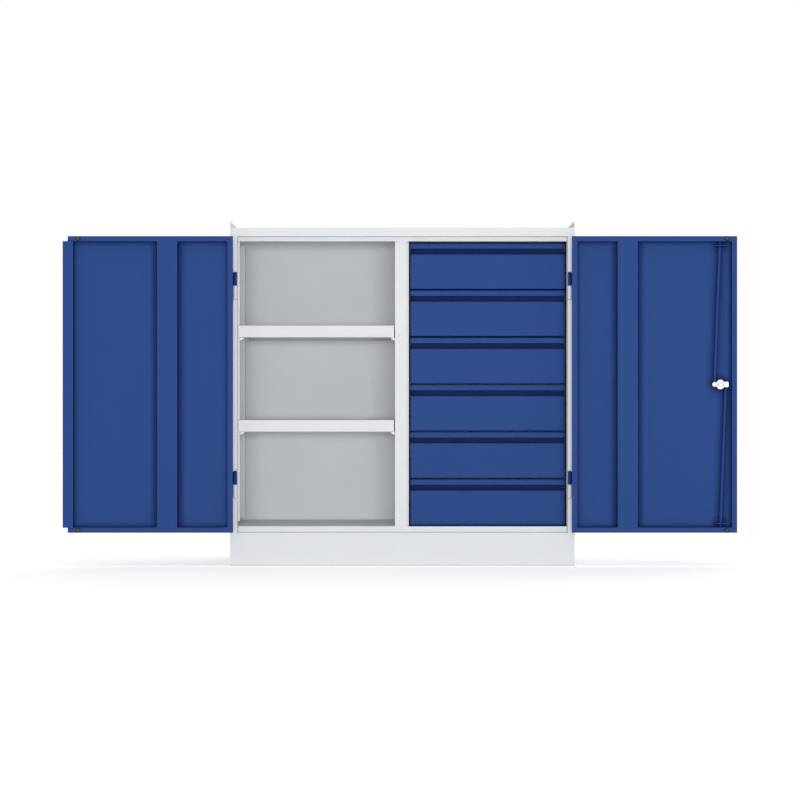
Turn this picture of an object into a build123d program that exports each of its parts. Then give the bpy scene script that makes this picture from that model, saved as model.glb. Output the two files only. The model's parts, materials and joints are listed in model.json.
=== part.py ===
from build123d import *
import os
from math import atan2, degrees, radians, sin, tan

# Two-door tool cabinet: shelves on the left, six drawers on the right.
# Millimetres. X right, Y back, Z up. The origin is on the floor, at the centre of the carcass.
# Both doors stand wide open, folded back by half a turn, and every drawer is pushed in.

# ---- Driving dimensions: carcass ----
WIDTH = 1000.0
DEPTH = 500.0
HEIGHT = 1000.0
SHEET = 1.0
HEAVY_SHEET = 1.5
STILE_WIDTH = 20.0
REAR_FLANGE = 20.0
FRAME_FLANGE = 38.0
PLINTH_HEIGHT = 95.0
FLOOR_STEP = 18.0
TRAY_RIM = 19.0
RIM_HEM = 8.0
FASCIA_HEIGHT = 24.0
STOP_RAIL = 14.0
STOP_RETURN = 17.0
REBATE = 23.0
POST_LEFT = -21.6
POST_WIDTH = 33.9
POST_REAR_FLANGE = 12.0

# ---- Driving dimensions: shelves and their uprights ----
HOLE_PITCH = 25.0
SLOT_STEPS = (9, 25)
SHELF_STEPS = (11, 22)
SHELF_EDGE = 35.0
SHELF_LIP = 14.0
SHELF_SIDE_GAP = 3.0
SHELF_REAR_GAP = 8.0
APRON_SIDE_GAP = 2.0
BEND_RADIUS = 2.5
UPRIGHT_DEPTH = 25.0
UPRIGHT_FACE = 40.0
UPRIGHT_LIP = 10.0
UPRIGHT_GAP = 2.0
UPRIGHT_FOOT_GAP = 15.0
REAR_UPRIGHT = 310.0
SLOT_WIDTH = 3.0
SLOT_HEIGHT = 12.0
CLIP_REACH = 12.0
CLIP_WIDTH = 14.0
CLIP_ROOT = 9.0
CLIP_TIP = 4.0
CLIP_TONGUE = 2.6
CLIP_PLAY = 0.2

# ---- Driving dimensions: drawers ----
DRAWER_COUNT = 6
DRAWER_GAP = 3.0
CARRIER_DEPTH = 6.0
CARRIER_DEPTH_WALL = 20.6
REAR_CARRIER = 420.0
RUNNER_LENGTH = 430.0
RUNNER_HEIGHT = 45.0
RUNNER_WIDTH = 12.7
RUNNER_SHEET = 1.2
RUNNER_LIP = 9.0
RUNNER_LIFT = 4.0
RUNNER_PLAY = 0.3
BALL_DIAMETER = 3.8
FRONT_SIDE_GAP = 5.5
FRONT_SETBACK = 5.0
FRONT_DEPTH = 20.0
GRIP_LIP = 16.5
GRIP_HEM = 5.0
GRIP_MOUTH = 15.5
GRIP_SLOPE = 4.0
GRIP_RADIUS = 3.0
TRAY_DEPTH = 430.0
TRAY_LIFT = 4.0
TRAY_TOP_GAP = 12.0
TRAY_HEM = 6.0

# ---- Driving dimensions: doors and hinges ----
DOOR_DEPTH = 20.0
DOOR_FLANGE = 15.0
DOOR_FOLD = 1.5
DOOR_TOP_GAP = 2.0
DOOR_SIDE_GAP = 1.0
DOOR_MIDDLE_GAP = 4.0
STIFFENER_WIDTH = 58.0
STIFFENER_FOOT = 12.0
STIFFENER_CENTRES = {-1: 189.6, 1: 160.7}
STOP_STRIP_WIDTH = 30.0
STOP_STRIP_REACH = 14.5
STOP_STRIP_END_GAP = 14.5
BUFFER_DIAMETER = 12.0
BUFFER_HEIGHT = 2.8
BUFFER_INSET = 30.0
MOULDED_SIDES = 12
HINGE_DIAMETER = 11.0
HINGE_LENGTH = 80.0
HINGE_SPLIT = 0.3
HINGE_PIN = 6.0
PIN_PLAY = 0.05
PIN_DEPTH = 28.0
HINGE_OFFSET = 6.0
HINGE_HEIGHTS = (235.5, 812.5)
HINGE_INSET = 2.5
HINGE_FOOT = 8.0
HINGE_LEAF = 12.0
HINGE_LEAF_THICKNESS = 2.5
HINGE_STEP = 0.5

# ---- Driving dimensions: lock ----
LOCK_INSET = 48.0
LOCK_HEIGHT = 526.0
ROD_DIAMETER = 8.0
ROD_PLANE = 10.0
ROD_END_GAP = 2.0
ROD_STUB = 6.0
ROD_STUB_PLAY = 0.1
ROD_SLOT_WIDTH = 20.0
ROD_SLOT_DEPTH = 10.0
CAM_ARM = 16.5
CAM_ARM_WIDTH = 13.0
CAM_ARM_THICKNESS = 3.0
CAM_HUB_WIDTH = 20.0
CAM_HUB_HEIGHT = 27.0
CAM_HUB_CHAMFER = 5.5
CAM_GAP = 0.3
SPINDLE_SQUARE = 8.0
SPINDLE_ROUND = 12.0
CLIP_DIAMETER = 14.0
CLIP_PLATE = (14.5, 16.5)
CLIP_CORNER = 4.0
CLIP_THICKNESS = 1.8
SCREW_HEAD = 8.0
SCREW_SHANK = 5.0
SCREW_LENGTH = 10.0
GUIDE_WIDTH = 32.0
GUIDE_FOOT = 16.0
GUIDE_SHEET = 2.0
GUIDE_INSET = 26.0
ROSETTE_WIDTH = 42.0
ROSETTE_HEIGHT = 8.0
BARREL_DIAMETER = 18.0
NUT_ACROSS = 24.0
NUT_HEIGHT = 4.0
HANDLE_HUB = 34.0
HANDLE_HUB_HEIGHT = 8.0
GRIP_LENGTH = 80.0
GRIP_WIDTH = 22.0
GRIP_HEIGHT = 20.0
GRIP_FOOT = 5.0
GRIP_DRAFT = 1.6
GRIP_EDGE = 2.5
GRIP_CORNER = 6.0
PLUG_DIAMETER = 15.0
PLUG_DEPTH = 18.0
PLUG_PROUD = 1.0
KEYWAY = (2.0, 9.0, 8.0)

# ---- Derived places ----
HALF = WIDTH / 2
FRONT = -DEPTH / 2
BACK = DEPTH / 2
WALL = HALF - SHEET
JAMB = HALF - STILE_WIDTH
STOP_PLANE = FRONT + REBATE
REAR_PANEL = BACK - 2 * SHEET
FLOOR = PLINTH_HEIGHT + FLOOR_STEP
TRAY = HEIGHT - TRAY_RIM
TRAY_UNDERSIDE = TRAY - HEAVY_SHEET
FASCIA_BOTTOM = TRAY - FASCIA_HEIGHT
RAIL_BOTTOM = FASCIA_BOTTOM - STOP_RAIL
POST_RIGHT = POST_LEFT + POST_WIDTH
UPRIGHT_FRONT = STOP_PLANE + UPRIGHT_GAP
UPRIGHT_BACK = FRONT + REAR_UPRIGHT
SLOT_ROWS = (UPRIGHT_FRONT + UPRIGHT_FACE / 2, UPRIGHT_BACK + UPRIGHT_FACE / 2)
SHELF_LEFT = -WALL + UPRIGHT_DEPTH
SHELF_HEIGHTS = tuple(FLOOR + step * HOLE_PITCH for step in SHELF_STEPS)
SLOT_DROP = CLIP_ROOT + CLIP_PLAY

RUNNER_FACES = {-1: POST_RIGHT + CARRIER_DEPTH, 1: WALL - CARRIER_DEPTH_WALL}
DRAWER_FRONT = STOP_PLANE + FRONT_SETBACK
DRAWER_BACK = DRAWER_FRONT + FRONT_DEPTH
DRAWER_LEFT = RUNNER_FACES[-1] + FRONT_SIDE_GAP
DRAWER_RIGHT = RUNNER_FACES[1] - FRONT_SIDE_GAP
DRAWER_BASE = FLOOR + DRAWER_GAP
DRAWER_PITCH = (RAIL_BOTTOM - DRAWER_GAP / 2 - DRAWER_BASE) / DRAWER_COUNT
FRONT_HEIGHT = DRAWER_PITCH - DRAWER_GAP
RUNNER_FRONT = DRAWER_BACK + 2 * SHEET

AXIS_X = JAMB + HINGE_OFFSET - DOOR_SIDE_GAP
AXIS_Y = FRONT - HINGE_OFFSET
DOOR_WIDTH = JAMB - DOOR_SIDE_GAP - DOOR_MIDDLE_GAP / 2
DOOR_EDGE = 2 * AXIS_X - (JAMB - DOOR_SIDE_GAP)
DOOR_OUTSIDE = 2 * AXIS_Y - FRONT
DOOR_INSIDE = DOOR_OUTSIDE - DOOR_DEPTH
DOOR_SKIN = DOOR_OUTSIDE - SHEET
DOOR_BOTTOM = PLINTH_HEIGHT + DOOR_TOP_GAP
DOOR_TOP = FASCIA_BOTTOM - DOOR_TOP_GAP
DOOR_CENTRE = DOOR_EDGE + DOOR_WIDTH / 2
DOOR_MIDDLE = (DOOR_BOTTOM + DOOR_TOP) / 2
DOOR_HEIGHT = DOOR_TOP - DOOR_BOTTOM

LOCK_X = DOOR_EDGE + DOOR_WIDTH - LOCK_INSET
LOCK_X_CLOSED = 2 * AXIS_X - LOCK_X
ROD_Y = DOOR_OUTSIDE - ROD_PLANE
ROD_Y_CLOSED = FRONT + ROD_PLANE
ROD_TOP = DOOR_TOP - ROD_END_GAP
ROD_BOTTOM = DOOR_BOTTOM + ROD_END_GAP
BARREL_END = DOOR_SKIN - NUT_HEIGHT - CAM_GAP
ARM_BACK = ROD_Y - ROD_DIAMETER / 2 - CAM_GAP
ARM_FRONT = ARM_BACK - CAM_ARM_THICKNESS
CLIP_BACK = ARM_FRONT - CAM_GAP / 2
CLIP_FRONT = CLIP_BACK - CLIP_THICKNESS
ROSETTE_FACE = DOOR_OUTSIDE + ROSETTE_HEIGHT
HANDLE_BACK = ROSETTE_FACE + CAM_GAP
GRIP_BACK = HANDLE_BACK + HANDLE_HUB_HEIGHT
GRIP_FACE = GRIP_BACK + GRIP_HEIGHT
SPINDLE_END = HANDLE_BACK + HANDLE_HUB_HEIGHT / 2


# ---- Shared ways of making a solid ----
def block(x0, x1, y0, y1, z0, z1):
    """A box between two corners."""
    centre = ((x0 + x1) / 2, (y0 + y1) / 2, (z0 + z1) / 2)
    return Pos(*centre) * Box(abs(x1 - x0), abs(y1 - y0), abs(z1 - z0))


def eased(points, radii):
    """The points of a section, each inner corner pressed round in two flats to its radius."""
    path = [Vector(*points[0])]
    corners = [Vector(*point) for point in points]
    for before, corner, after, radius in zip(corners, corners[1:], corners[2:], radii):
        if not radius:
            path.append(corner)
            continue
        back, on = (before - corner).normalized(), (after - corner).normalized()
        half = radians(back.get_angle(on) / 2)
        middle = (back + on).normalized() * (radius / sin(half) - radius)
        reach = radius / tan(half)
        path += [corner + back * reach, corner + middle, corner + on * reach]
    return path + [corners[-1]]


def folded(points, thickness, side=Side.RIGHT, radii=None):
    """The section of a folded sheet, whose one skin runs through the points."""
    path = Polyline(*(eased(points, radii) if radii else points))
    skin = offset(path, amount=thickness, side=side, kind=Kind.INTERSECTION)
    return make_face(skin.edges())


def along_x(face, x0, x1):
    """Extrude a section drawn as (y, z)."""
    return extrude(Plane.YZ.offset(x0) * face, x1 - x0)


def along_y(face, y0, y1):
    """Extrude a section drawn as (x, z)."""
    return extrude(Plane.XZ.offset(-y0) * face, y0 - y1)


def along_z(face, z0, z1):
    """Extrude a section drawn as (x, y)."""
    return extrude(Plane.XY.offset(z0) * face, z1 - z0)


def disc(x, z, diameter, y0, y1):
    """A round bar along Y."""
    return along_y(Pos(x, z) * Circle(diameter / 2), y0, y1)


def mirrored(shape):
    """The same shape on the other side of the cabinet's middle plane."""
    return mirror(shape, about=Plane.YZ)


# ---- Carcass ----
def side_wall_left():
    """Side skin with its front stile, jamb and rear flange, folded from one sheet."""
    section = [
        (-JAMB, STOP_PLANE),
        (-JAMB, FRONT),
        (-HALF, FRONT),
        (-HALF, BACK),
        (-HALF + REAR_FLANGE, BACK),
    ]
    wall = along_z(folded(section, SHEET), 0, TRAY_UNDERSIDE)
    for low, high in ((0, PLINTH_HEIGHT), (FASCIA_BOTTOM, TRAY_UNDERSIDE)):
        wall -= block(-WALL, -JAMB, FRONT, STOP_PLANE, low, high)
    return wall


def top_tray():
    """Top plate with a raised rim on three sides, the fascia and the door stop rail."""
    rim_inside = BACK - HEAVY_SHEET
    section = [
        (rim_inside, HEIGHT),
        (rim_inside, TRAY),
        (FRONT, TRAY),
        (FRONT, FASCIA_BOTTOM),
        (STOP_PLANE, FASCIA_BOTTOM),
        (STOP_PLANE, RAIL_BOTTOM),
        (STOP_PLANE + STOP_RETURN, RAIL_BOTTOM),
    ]
    tray = along_x(folded(section, HEAVY_SHEET, Side.LEFT), -HALF, HALF)
    hem = 2 * HEAVY_SHEET
    tray += block(-HALF, HALF, BACK - hem, BACK, HEIGHT - RIM_HEM, HEIGHT)
    skin = FRONT + HEAVY_SHEET
    for side in (-1, 1):
        tray -= block(side * JAMB, side * (HALF + 1), skin, 0, RAIL_BOTTOM, TRAY_UNDERSIDE)
        tray -= block(side * WALL, side * (HALF + 1), FRONT, skin, RAIL_BOTTOM, TRAY_UNDERSIDE)
        tray += block(side * (HALF - HEAVY_SHEET), side * HALF, FRONT, BACK, TRAY, HEIGHT)
        tray += block(side * (HALF - hem), side * HALF, FRONT, BACK, HEIGHT - RIM_HEM, HEIGHT)
    return tray - rod_slot(FASCIA_BOTTOM, FASCIA_BOTTOM + HEAVY_SHEET)


def rod_slot(low, high):
    """The slot that a locking rod enters when the right door is shut."""
    x0, x1 = LOCK_X_CLOSED - ROD_SLOT_WIDTH / 2, LOCK_X_CLOSED + ROD_SLOT_WIDTH / 2
    y0, y1 = ROD_Y_CLOSED - ROD_SLOT_DEPTH / 2, ROD_Y_CLOSED + ROD_SLOT_DEPTH / 2
    return block(x0, x1, y0, y1, low, high)


def plinth_frame():
    """Welded ring of channel that carries the floor; its bottom flange is what rests."""
    inset = HEAVY_SHEET
    frame = block(-WALL, WALL, FRONT, REAR_PANEL, 0, PLINTH_HEIGHT)
    frame -= block(
        -WALL + inset, WALL - inset, FRONT + inset, REAR_PANEL - inset, inset, PLINTH_HEIGHT - inset
    )
    edge = FRAME_FLANGE
    frame -= block(-WALL + edge, WALL - edge, FRONT + edge, REAR_PANEL - edge, 0, PLINTH_HEIGHT)
    return frame - rod_slot(PLINTH_HEIGHT - HEAVY_SHEET, PLINTH_HEIGHT)


def floor_panel():
    """Cabinet floor, a pan turned down on all four sides; its front edge stops the doors."""
    pan = block(-WALL, WALL, STOP_PLANE, REAR_PANEL, PLINTH_HEIGHT, FLOOR)
    hollow = block(
        -WALL + SHEET, WALL - SHEET, STOP_PLANE + SHEET, REAR_PANEL - SHEET, PLINTH_HEIGHT, FLOOR - SHEET
    )
    return pan - hollow


def back_panel():
    return block(-WALL, WALL, REAR_PANEL, REAR_PANEL + SHEET, 0, TRAY_UNDERSIDE)


def centre_partition():
    """Double-skinned wall between shelves and drawers, one sheet folded round the front."""
    section = [
        (POST_LEFT + POST_REAR_FLANGE, REAR_PANEL),
        (POST_LEFT, REAR_PANEL),
        (POST_LEFT, STOP_PLANE),
        (POST_RIGHT, STOP_PLANE),
        (POST_RIGHT, REAR_PANEL),
        (POST_RIGHT - POST_REAR_FLANGE, REAR_PANEL),
    ]
    wall = along_z(folded(section, SHEET, Side.LEFT), FLOOR, TRAY_UNDERSIDE)
    notch_back = STOP_PLANE + STOP_RETURN
    wall -= block(POST_LEFT, POST_RIGHT, STOP_PLANE, notch_back, RAIL_BOTTOM, TRAY_UNDERSIDE)
    return wall - slot_rows(POST_LEFT, POST_LEFT + SHEET)


# ---- Shelves ----
def slot_rows(x0, x1):
    """The clip slots of one wall, in a front and a rear row at the hole pitch."""
    slots = []
    for step in range(*SLOT_STEPS):
        low = FLOOR + step * HOLE_PITCH - SLOT_DROP
        for row in SLOT_ROWS:
            slots.append(block(x0, x1, row - SLOT_WIDTH / 2, row + SLOT_WIDTH / 2, low, low + SLOT_HEIGHT))
    return slots


def upright(wall_x, depth, front, inward):
    """Section of a lipped channel whose lips are welded to a wall and whose web faces inward."""
    face = wall_x + inward * depth
    back = front + UPRIGHT_FACE
    points = [
        (wall_x, front + UPRIGHT_LIP),
        (wall_x, front),
        (face, front),
        (face, back),
        (wall_x, back),
        (wall_x, back - UPRIGHT_LIP),
    ]
    return folded(points, HEAVY_SHEET, Side.LEFT if inward > 0 else Side.RIGHT)


def shelf_uprights():
    """Slotted front and rear uprights on the left side wall."""
    posts = []
    for front in (UPRIGHT_FRONT, UPRIGHT_BACK):
        section = upright(-WALL, UPRIGHT_DEPTH, front, 1)
        posts.append(along_z(section, FLOOR + UPRIGHT_FOOT_GAP, RAIL_BOTTOM))
    slots = slot_rows(SHELF_LEFT - HEAVY_SHEET, SHELF_LEFT)
    return [post - slots for post in posts]


def shelf(bottom):
    """A shelf folded down on all four sides, with an apron that runs past the upright."""
    rear = REAR_PANEL - SHELF_REAR_GAP
    top = bottom + SHELF_EDGE
    left, right = SHELF_LEFT + APRON_SIDE_GAP, POST_LEFT - SHELF_SIDE_GAP
    section = [
        (STOP_PLANE + SHELF_LIP, bottom),
        (STOP_PLANE, bottom),
        (STOP_PLANE, top),
        (rear, top),
        (rear, bottom),
        (rear - SHELF_LIP, bottom),
    ]
    bends = [BEND_RADIUS, BEND_RADIUS, 0, 0]
    plate = along_x(folded(section, SHEET, radii=bends), left, right)
    inner = BEND_RADIUS / 2
    for x0 in (left, right - SHEET):
        plate += block(x0, x0 + SHEET, STOP_PLANE + inner, rear, bottom, top - inner)
    apron = block(-JAMB + APRON_SIDE_GAP, left, STOP_PLANE, STOP_PLANE + SHEET, bottom + inner, top - inner)
    return plate + apron


def shelf_clip(wall_x, wall, row, shelf_bottom, inward):
    """A wedge that the shelf rests on, with a tongue hooked through the slot."""
    wedge = Polyline(
        (wall_x, shelf_bottom),
        (wall_x + inward * CLIP_REACH, shelf_bottom),
        (wall_x + inward * CLIP_REACH, shelf_bottom - CLIP_TIP),
        (wall_x, shelf_bottom - CLIP_ROOT),
        close=True,
    )
    body = along_y(make_face(wedge), row - CLIP_WIDTH / 2, row + CLIP_WIDTH / 2)
    half = CLIP_TONGUE / 2
    behind = wall_x - inward * (wall + CLIP_PLAY)
    hook_end = behind - inward * SHEET
    low, high = shelf_bottom - CLIP_ROOT, shelf_bottom - CLIP_PLAY
    tongue = block(wall_x, hook_end, row - half, row + half, low, high)
    hook = block(behind, hook_end, row - half, row + half, low - CLIP_TIP, low)
    return body + tongue + hook


def shelf_clips():
    clips = []
    for bottom in SHELF_HEIGHTS:
        for row in SLOT_ROWS:
            clips.append(shelf_clip(SHELF_LEFT, HEAVY_SHEET, row, bottom, 1))
            clips.append(shelf_clip(POST_LEFT, SHEET, row, bottom, -1))
    return clips


# ---- Drawer runners ----
def drawer_carriers():
    """Four uprights that the runners are fixed to: two on the post, two on the side wall."""
    carriers = []
    for front in (UPRIGHT_FRONT, FRONT + REAR_CARRIER):
        for section in (
            upright(POST_RIGHT, CARRIER_DEPTH, front, 1),
            upright(WALL, CARRIER_DEPTH_WALL, front, -1),
        ):
            carriers.append(along_z(section, FLOOR, RAIL_BOTTOM))
    return carriers


def channel(side, web, tip, half_height, middle):
    """A C-shaped runner member; web and tip are depths from the carrier's face."""
    x_web, x_tip = RUNNER_FACES[side] - side * web, RUNNER_FACES[side] - side * tip
    points = [
        (x_tip, middle + half_height),
        (x_web, middle + half_height),
        (x_web, middle - half_height),
        (x_tip, middle - half_height),
    ]
    opens_right = tip > web if side < 0 else tip < web
    return folded(points, RUNNER_SHEET, Side.LEFT if opens_right else Side.RIGHT)


def runner_middle(number):
    return drawer_bottom(number) + RUNNER_LIFT + RUNNER_HEIGHT / 2


def cabinet_member(side, number):
    section = channel(side, 0, RUNNER_LIP, RUNNER_HEIGHT / 2, runner_middle(number))
    return along_y(section, RUNNER_FRONT, RUNNER_FRONT + RUNNER_LENGTH)


def intermediate_half_height():
    return RUNNER_HEIGHT / 2 - RUNNER_SHEET - BALL_DIAMETER


def intermediate_member(side, number):
    """The middle member, with the four ball rows, square bars here, that run in its neighbours."""
    middle, half = runner_middle(number), intermediate_half_height()
    web = 2 * RUNNER_SHEET
    section = channel(side, web, RUNNER_LIP + RUNNER_SHEET, half, middle)
    member = along_y(section, RUNNER_FRONT, RUNNER_FRONT + RUNNER_LENGTH)
    x_ball = RUNNER_FACES[side] - side * (RUNNER_LIP + web) / 2
    sink = RUNNER_PLAY / 2
    radius = BALL_DIAMETER / 2
    outer, inner = half + radius - sink, half - RUNNER_SHEET - radius + sink
    balls = Rectangle(BALL_DIAMETER, BALL_DIAMETER)
    for height in (-outer, -inner, inner, outer):
        row = Pos(x_ball, middle + height) * balls
        member += along_y(row, RUNNER_FRONT, RUNNER_FRONT + RUNNER_LENGTH)
    return member


def drawer_member(side, number):
    """The member screwed to the drawer's side."""
    half = intermediate_half_height() - RUNNER_SHEET - BALL_DIAMETER
    section = channel(side, RUNNER_WIDTH, RUNNER_LIP / 2, half, runner_middle(number))
    return along_y(section, RUNNER_FRONT, RUNNER_FRONT + RUNNER_LENGTH)


# ---- Drawers ----
def drawer_bottom(number):
    return DRAWER_BASE + number * DRAWER_PITCH


def drawer_tray(number):
    """Open tray welded from a base and four walls, each wall hemmed inwards at the rim."""
    left, right = RUNNER_FACES[-1] + RUNNER_WIDTH, RUNNER_FACES[1] - RUNNER_WIDTH
    front, rear = DRAWER_BACK, DRAWER_BACK + TRAY_DEPTH
    bottom = drawer_bottom(number) + TRAY_LIFT
    top = drawer_bottom(number) + FRONT_HEIGHT - TRAY_TOP_GAP
    floor, hem, rim = bottom + SHEET, top - SHEET, TRAY_HEM
    panels = [block(left, right, front, rear, bottom, floor)]
    for outer, inner, tip in (
        (left, left + SHEET, left + rim),
        (right, right - SHEET, right - rim),
    ):
        wall = block(outer, inner, front, rear, floor, top)
        panels.append(wall + block(inner, tip, front, rear, hem, top))
    for outer, inner, tip in ((front, front + SHEET, front + rim), (rear, rear - SHEET, rear - rim)):
        wall = block(left + SHEET, right - SHEET, outer, inner, floor, hem)
        panels.append(wall + block(left + rim, right - rim, outer, tip, hem, top))
    return panels


def drawer_front(number):
    """Folded front with a full-width grip: a rolled lip over a recess for the fingers."""
    bottom = drawer_bottom(number)
    top = bottom + FRONT_HEIGHT
    recess = DRAWER_BACK - SHEET
    ledge = top - GRIP_LIP - GRIP_MOUTH
    hem = DRAWER_FRONT + GRIP_HEM
    points = [
        (DRAWER_BACK, bottom),
        (DRAWER_FRONT, bottom),
        (DRAWER_FRONT, ledge),
        (recess, ledge - GRIP_SLOPE),
        (recess, top - SHEET),
        (DRAWER_FRONT + SHEET, top - SHEET),
        (DRAWER_FRONT + SHEET, top - GRIP_LIP + SHEET),
        (hem, top - GRIP_LIP + SHEET),
        (hem, top - GRIP_LIP / 2),
    ]
    radii = [BEND_RADIUS, GRIP_RADIUS, 0, 0, GRIP_RADIUS, 0, 0]
    panel = along_x(folded(points, SHEET, radii=radii), DRAWER_LEFT, DRAWER_RIGHT)
    for x0 in (DRAWER_LEFT, DRAWER_RIGHT - SHEET):
        y0, z0 = DRAWER_FRONT + BEND_RADIUS / 2, bottom + SHEET / 2
        panel += block(x0, x0 + SHEET, y0, DRAWER_BACK, z0, ledge - GRIP_SLOPE - SHEET / 2)
    return panel


# ---- Doors ----
def door_outline(inset):
    return Rectangle(DOOR_WIDTH - 2 * inset, DOOR_HEIGHT - 2 * inset)


def door_pan(side):
    """Door skin folded back on all four edges, with an inner flange all round."""
    place = Pos(side * DOOR_CENTRE, DOOR_MIDDLE)
    pan = along_y(place * door_outline(0), DOOR_INSIDE, DOOR_OUTSIDE)
    pan = fillet(pan.faces().sort_by(Axis.Y)[-1].edges(), DOOR_FOLD)
    pan -= along_y(place * door_outline(SHEET), DOOR_INSIDE + SHEET, DOOR_SKIN)
    return pan - along_y(place * door_outline(DOOR_FLANGE), DOOR_INSIDE, DOOR_INSIDE + SHEET)


def right_door_pan():
    """The active door's pan, pierced for the lock barrel and the two rods."""
    pan = door_pan(1) - disc(LOCK_X, LOCK_HEIGHT, BARREL_DIAMETER, DOOR_SKIN, DOOR_OUTSIDE)
    half_width, half_depth = ROD_SLOT_WIDTH / 2, ROD_SLOT_DEPTH / 2
    for low in (DOOR_BOTTOM, DOOR_TOP - SHEET):
        x0, y0 = LOCK_X - half_width, ROD_Y - half_depth
        pan -= block(x0, x0 + ROD_SLOT_WIDTH, y0, y0 + ROD_SLOT_DEPTH, low, low + SHEET)
    return pan


def door_stiffener(side):
    """Upright channel welded to the skin, flush with the door's inner flanges."""
    centre = side * (DOOR_EDGE + STIFFENER_CENTRES[side])
    left, right = centre - STIFFENER_WIDTH / 2, centre + STIFFENER_WIDTH / 2
    section = [
        (left + STIFFENER_FOOT, DOOR_SKIN),
        (left, DOOR_SKIN),
        (left, DOOR_INSIDE),
        (right, DOOR_INSIDE),
        (right, DOOR_SKIN),
        (right - STIFFENER_FOOT, DOOR_SKIN),
    ]
    return along_z(folded(section, SHEET, Side.LEFT), DOOR_BOTTOM + DOOR_FLANGE, DOOR_TOP - DOOR_FLANGE)


def door_stop_strip():
    """Strip on the left door that the right door shuts against."""
    free_edge = -(DOOR_EDGE + DOOR_WIDTH)
    x0 = free_edge - STOP_STRIP_REACH
    low, high = DOOR_BOTTOM + STOP_STRIP_END_GAP, DOOR_TOP - STOP_STRIP_END_GAP
    return block(x0, x0 + STOP_STRIP_WIDTH, DOOR_INSIDE - HEAVY_SHEET, DOOR_INSIDE, low, high)


def door_buffers(side):
    """Rubber buffers on the top and bottom flanges, near the free edge."""
    x = side * (DOOR_EDGE + DOOR_WIDTH - BUFFER_INSET)
    face = DOOR_INSIDE - BUFFER_HEIGHT
    buffers = []
    for z in (DOOR_BOTTOM + DOOR_FLANGE / 2, DOOR_TOP - DOOR_FLANGE / 2):
        outline = Pos(x, z) * RegularPolygon(BUFFER_DIAMETER / 2, MOULDED_SIDES)
        buffers.append(along_y(outline, face, DOOR_INSIDE))
    return buffers


# ---- Hinges ----
def knuckle(side, low, high):
    """Half of a hinge barrel."""
    return along_z(Pos(side * AXIS_X, AXIS_Y) * Circle(HINGE_DIAMETER / 2), low, high)


def pin_bore(side, split, diameter):
    low, high = split - PIN_DEPTH - PIN_PLAY, split + PIN_DEPTH + PIN_PLAY
    return along_z(Pos(side * AXIS_X, AXIS_Y) * Circle(diameter / 2), low, high)


def frame_knuckle(side, split):
    """Lower half, welded to the stile through a small foot."""
    low, high = split - HINGE_LENGTH / 2, split - HINGE_SPLIT / 2
    x0, x1 = side * AXIS_X - HINGE_FOOT / 2, side * AXIS_X + HINGE_FOOT / 2
    foot = block(x0, x1, AXIS_Y, FRONT, low + HINGE_INSET, high - HINGE_INSET)
    return knuckle(side, low, high) + foot - pin_bore(side, split, HINGE_PIN)


def door_knuckle(side, split):
    """Upper half, with a leaf welded to the door's outer skin."""
    low, high = split + HINGE_SPLIT / 2, split + HINGE_LENGTH / 2
    z0, z1 = low + HINGE_INSET, high - HINGE_INSET
    raised = DOOR_OUTSIDE + HINGE_STEP
    root, tip = DOOR_EDGE + HINGE_STEP, DOOR_EDGE + HINGE_LEAF
    neck = block(side * AXIS_X, side * root, raised, raised + HINGE_LEAF_THICKNESS, z0, z1)
    leaf = block(side * DOOR_EDGE, side * tip, DOOR_OUTSIDE, raised + HINGE_LEAF_THICKNESS, z0, z1)
    return knuckle(side, low, high) + neck + leaf - pin_bore(side, split, HINGE_PIN + 2 * PIN_PLAY)


def hinge_pin(side, split):
    """Pin pressed into the frame's half; the door's half turns on it."""
    pin = Pos(side * AXIS_X, AXIS_Y) * Circle(HINGE_PIN / 2)
    return along_z(pin, split - PIN_DEPTH, split + PIN_DEPTH)


# ---- Lock ----
def lock_housing():
    """Eight-sided rosette outside the door with its threaded barrel through the skin."""
    rosette = Rectangle(ROSETTE_WIDTH, ROSETTE_WIDTH)
    rosette = Pos(LOCK_X, LOCK_HEIGHT) * chamfer(rosette.vertices(), ROSETTE_WIDTH / 4)
    rosette = along_y(rosette, DOOR_OUTSIDE, ROSETTE_FACE)
    barrel = disc(LOCK_X, LOCK_HEIGHT, BARREL_DIAMETER, BARREL_END, DOOR_OUTSIDE)
    bore = disc(LOCK_X, LOCK_HEIGHT, SPINDLE_ROUND + 2 * PIN_PLAY, BARREL_END, ROSETTE_FACE)
    return rosette + barrel - bore


def lock_nut():
    nut = Pos(LOCK_X, LOCK_HEIGHT) * RegularPolygon(NUT_ACROSS / 2, 6, major_radius=False)
    nut = along_y(nut, DOOR_SKIN - NUT_HEIGHT, DOOR_SKIN)
    return nut - disc(LOCK_X, LOCK_HEIGHT, BARREL_DIAMETER, DOOR_SKIN - NUT_HEIGHT, DOOR_SKIN)


def square_bar(y0, y1):
    """The square of the spindle, or the socket that takes it."""
    square = Pos(LOCK_X, LOCK_HEIGHT) * Rectangle(SPINDLE_SQUARE, SPINDLE_SQUARE)
    return along_y(square, y0, y1)


def lock_spindle():
    """Shaft of the handle: round in the housing and square in the cam and the grip."""
    round_part = disc(LOCK_X, LOCK_HEIGHT, SPINDLE_ROUND, BARREL_END, HANDLE_BACK)
    return round_part + square_bar(ARM_FRONT, SPINDLE_END) - screw_shank()


def screw_shank():
    return disc(LOCK_X, LOCK_HEIGHT, SCREW_SHANK, ARM_FRONT, ARM_FRONT + SCREW_LENGTH)


def cam_screw():
    """Hexagon screw that holds the cam on the shaft."""
    head = Pos(LOCK_X, LOCK_HEIGHT) * RegularPolygon(SCREW_HEAD / 2, 6, major_radius=False)
    return along_y(head, CLIP_FRONT, ARM_FRONT) + screw_shank()


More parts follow.
